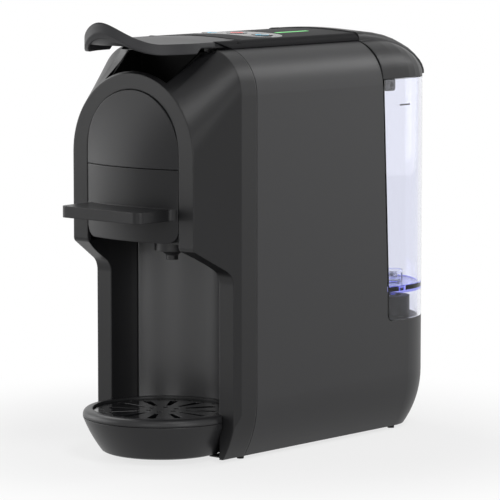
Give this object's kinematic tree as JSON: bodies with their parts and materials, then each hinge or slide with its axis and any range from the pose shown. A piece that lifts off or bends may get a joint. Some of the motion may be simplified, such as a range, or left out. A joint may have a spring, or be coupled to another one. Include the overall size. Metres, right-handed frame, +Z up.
{
  "type": "capsule coffee machine",
  "caption": "Compact capsule coffee machine with a top lever, an arched front with a capsule drawer, a cup bay over a round drip tray, and a clear rear water tank.",
  "frame": {"origin": "on the table, under the middle of the machine's bounding box", "axes": "+X to the machine's left side as it faces -Y, +Y from the front to the back, +Z up"},
  "size_m": [0.118, 0.2661, 0.2705],
  "materials": {
    "side_shell": "satin dark grey",
    "front_shell": "satin dark grey",
    "front_panel": "satin dark grey",
    "top_shell": "satin dark grey",
    "lid_plastic": "satin dark grey",
    "lever_plastic": "satin dark grey",
    "liner_plastic": "fine matt",
    "tray_plastic": "satin dark grey",
    "grille_plastic": "satin dark grey",
    "inner_plastic": "black",
    "insert_plastic": "gloss dark grey",
    "button_plastic": "gloss dark grey with a lit mark",
    "board": "green lacquer",
    "steel": "brushed",
    "brass": "turned",
    "aluminium": "cast",
    "coil": "moulded",
    "seal_rubber": "soft black",
    "foot_rubber": "soft black",
    "tank_clear": "clear plastic with a slight blue tint",
    "hose": "translucent white tube"
  },
  "bodies": {
    "housing": {"side_panel_left": "side_shell", "side_panel_right": "side_shell", "base_plate": "inner_plastic", "foot_front_left": "foot_rubber", "foot_front_right": "foot_rubber", "foot_rear_left": "foot_rubber", "foot_rear_right": "foot_rubber", "front_shell": "front_shell", "arch_panel": "front_panel", "finger_well": "inner_plastic", "top_panel": "top_shell", "button_insert": "insert_plastic", "control_board": "board", "lever_shaft": "steel", "brew_frame": "inner_plastic", "outlet_spout": "inner_plastic", "bay_ceiling": "inner_plastic", "cup_bay_liner": "liner_plastic", "tank_bay": "inner_plastic", "tank_dock": "inner_plastic", "pump_coil": "coil", "pump_tube": "brass", "pump_mount_front": "seal_rubber", "pump_mount_rear": "seal_rubber", "heater_block": "aluminium", "inner_chassis": "steel", "thermostat": "inner_plastic", "flow_meter": "inner_plastic", "suction_hose": "hose", "pump_hose": "hose", "pump_line": "hose", "brew_line": "hose", "cable_gland": "seal_rubber", "base_screws": "steel"},
    "lever": {"lever": "lever_plastic"},
    "link_left": {"link_left": "steel"},
    "link_right": {"link_right": "steel"},
    "piston": {"brew_piston": "inner_plastic", "piston_yoke": "steel", "piston_seal": "seal_rubber"},
    "drawer": {"capsule_drawer": "front_panel", "capsule_adapter": "inner_plastic", "piercing_plate": "steel"},
    "tray": {"drip_tray": "tray_plastic", "tray_ring": "tray_plastic"},
    "grille": {"drip_grille": "grille_plastic"},
    "tank": {"water_tank": "tank_clear", "valve_cage": "inner_plastic", "valve_seal": "seal_rubber", "valve_spring": "steel"},
    "valve": {"valve_plunger": "inner_plastic"},
    "lid": {"tank_lid": "lid_plastic", "lid_catch_left": "inner_plastic", "lid_catch_right": "inner_plastic"},
    "power_button": {"button_power": "button_plastic"},
    "short_cup_button": {"button_short_cup": "button_plastic"},
    "long_cup_button": {"button_long_cup": "button_plastic"}
  },
  "joints": [
    {"name": "lever_hinge", "type": "hinge", "parent": "housing", "child": "lever", "pos_m": [0, -0.0486, 0.254], "axis": [-1, 0, 0], "range_deg": [0, 65]},
    {"name": "link_left_pin", "type": "hinge", "parent": "lever", "child": "link_left", "pos_m": [-0.0255, -0.05588, 0.24789], "axis": [1, 0, 0], "range_deg": [0, 65]},
    {"name": "link_right_pin", "type": "hinge", "parent": "lever", "child": "link_right", "pos_m": [0.0255, -0.05588, 0.24789], "axis": [1, 0, 0], "range_deg": [0, 65]},
    {"name": "piston_slide", "type": "slide", "parent": "housing", "child": "piston", "axis": [0, 0, 1], "range_m": [0, 0.01012]},
    {"name": "drawer_slide", "type": "slide", "parent": "housing", "child": "drawer", "axis": [0, -1, 0], "range_m": [0, 0.056]},
    {"name": "tray_slide", "type": "slide", "parent": "housing", "child": "tray", "axis": [0, -1, 0], "range_m": [0, 0.06]},
    {"name": "grille_lift", "type": "slide", "parent": "tray", "child": "grille", "axis": [0, 0, 1], "range_m": [0, 0.02]},
    {"name": "tank_lift", "type": "slide", "parent": "housing", "child": "tank", "axis": [0, 0, 1], "range_m": [0, 0.09]},
    {"name": "lid_lift", "type": "slide", "parent": "tank", "child": "lid", "axis": [0, 0, 1], "range_m": [0, 0.03]},
    {"name": "valve_slide", "type": "slide", "parent": "tank", "child": "valve", "axis": [0, 0, 1], "range_m": [0, 0.003], "stiffness_N_per_m": 120, "deforming": ["valve_spring"]},
    {"name": "power_press", "type": "slide", "parent": "housing", "child": "power_button", "axis": [0, 0, -1], "range_m": [0, 0.001], "stiffness_N_per_m": 400},
    {"name": "short_cup_press", "type": "slide", "parent": "housing", "child": "short_cup_button", "axis": [0, 0, -1], "range_m": [0, 0.001], "stiffness_N_per_m": 400},
    {"name": "long_cup_press", "type": "slide", "parent": "housing", "child": "long_cup_button", "axis": [0, 0, -1], "range_m": [0, 0.001], "stiffness_N_per_m": 400}
  ],
  "couplings": [
    {"joint": "lever_hinge", "follows": "piston_slide", "rad_per_m": 112.09},
    {"joint": "link_left_pin", "follows": "piston_slide", "rad_per_m": 112.09},
    {"joint": "link_right_pin", "follows": "piston_slide", "rad_per_m": 112.09}
  ]
}
